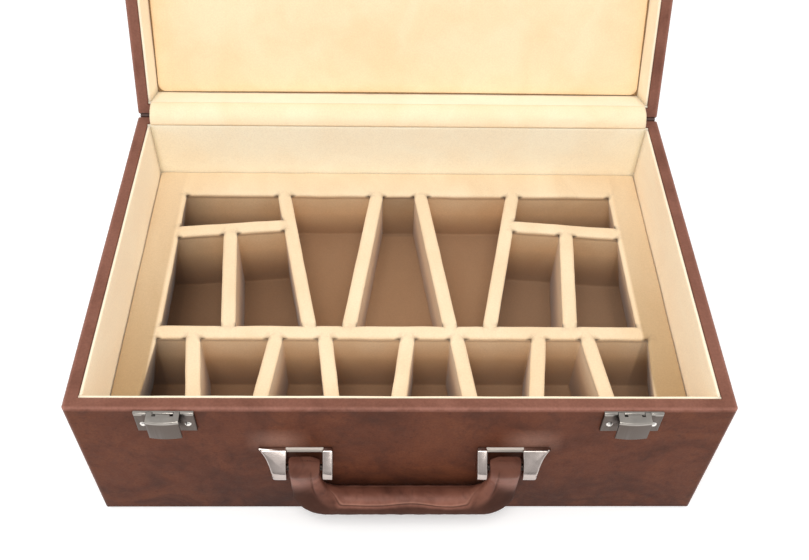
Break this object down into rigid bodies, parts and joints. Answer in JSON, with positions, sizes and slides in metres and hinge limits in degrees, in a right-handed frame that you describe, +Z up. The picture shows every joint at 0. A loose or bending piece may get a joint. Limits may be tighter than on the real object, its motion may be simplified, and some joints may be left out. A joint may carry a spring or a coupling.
{
  "type": "chess piece box",
  "caption": "Hinged leatherette-covered box with a cloth-lined tray of slots for chess pieces, rocker catches and a carrying handle.",
  "frame": {"origin": "middle of the flat underside of the base, at table height", "axes": "+X along the front from left to right, +Y from the front to the hinge at the back, +Z up"},
  "size_m": [0.4, 0.4156, 0.3742],
  "materials": {
    "leatherette": "mottled brown, satin",
    "handle_leather": "brown, satin",
    "lining_cloth": "cream suede cloth",
    "tray_cloth": "cream suede cloth over board",
    "panel_cloth": "smooth cream suede cloth",
    "boards": "plain fibreboard",
    "handle_filler": "rolled board",
    "nickel": "satin nickel plate",
    "bright_chrome": "polished plate",
    "steel": "plain steel",
    "hinge_lacquer": "brown lacquer"
  },
  "bodies": {
    "case_base": {"base_floor_board": "boards", "base_front_board": "boards", "base_back_board": "boards", "base_left_board": "boards", "base_right_board": "boards", "base_underside": "leatherette", "base_wrap": "leatherette", "base_front_lining": "lining_cloth", "base_back_lining": "lining_cloth", "base_left_lining": "lining_cloth", "base_right_lining": "lining_cloth", "tray_floor_pad": "tray_cloth", "centre_slot_pads": "tray_cloth", "tray_front_border": "tray_cloth", "tray_back_border": "tray_cloth", "tray_left_border": "tray_cloth", "tray_right_border": "tray_cloth", "tray_cross_rail": "tray_cloth", "tray_side_rails": "tray_cloth", "tray_long_partitions": "tray_cloth", "tray_side_partitions": "tray_cloth", "tray_pawn_partitions": "tray_cloth", "hinge_lower_leaf": "hinge_lacquer", "hinge_pin": "steel", "lower_hinge_screws": "steel", "lid_gusset": "panel_cloth", "left_catch_plate": "nickel", "right_catch_plate": "nickel", "left_catch_pin": "steel", "right_catch_pin": "steel", "left_catch_spring": "steel", "right_catch_spring": "steel", "catch_rivets": "nickel", "left_handle_bracket": "bright_chrome", "right_handle_bracket": "bright_chrome", "handle_pins": "steel", "handle_screws": "steel"},
    "lid": {"lid_top_board": "boards", "lid_front_board": "boards", "lid_back_board": "boards", "lid_left_board": "boards", "lid_right_board": "boards", "lid_wrap": "leatherette", "lid_front_lining": "lining_cloth", "lid_back_lining": "lining_cloth", "lid_left_lining": "lining_cloth", "lid_right_lining": "lining_cloth", "lid_panel": "panel_cloth", "hinge_upper_leaf": "hinge_lacquer", "upper_hinge_screws": "steel", "left_strike": "nickel", "right_strike": "nickel", "strike_rivets": "nickel"},
    "handle": {"handle_core": "handle_filler", "handle_grip": "handle_leather"},
    "left_lever": {"left_catch_lever": "nickel"},
    "right_lever": {"right_catch_lever": "nickel"}
  },
  "joints": [
    {"name": "lid_hinge", "type": "hinge", "parent": "case_base", "child": "lid", "pos_m": [0, 0.133, 0.122], "axis": [1, 0, 0], "range_deg": [0, 112], "deforming": ["lid_gusset"]},
    {"name": "handle_swing", "type": "hinge", "parent": "case_base", "child": "handle", "pos_m": [0.0025, -0.1415, 0.07], "axis": [-1, 0, 0], "range_deg": [0, 135]},
    {"name": "left_catch_rock", "type": "hinge", "parent": "case_base", "child": "left_lever", "pos_m": [-0.1401, -0.1381, 0.1115], "axis": [1, 0, 0], "range_deg": [0, 18], "stiffness_Nm_per_rad": 0.0155, "springref_deg": -28.65, "deforming": ["left_catch_spring"]},
    {"name": "right_catch_rock", "type": "hinge", "parent": "case_base", "child": "right_lever", "pos_m": [0.1375, -0.1381, 0.1115], "axis": [1, 0, 0], "range_deg": [0, 18], "stiffness_Nm_per_rad": 0.0155, "springref_deg": -28.65, "deforming": ["right_catch_spring"]}
  ]
}
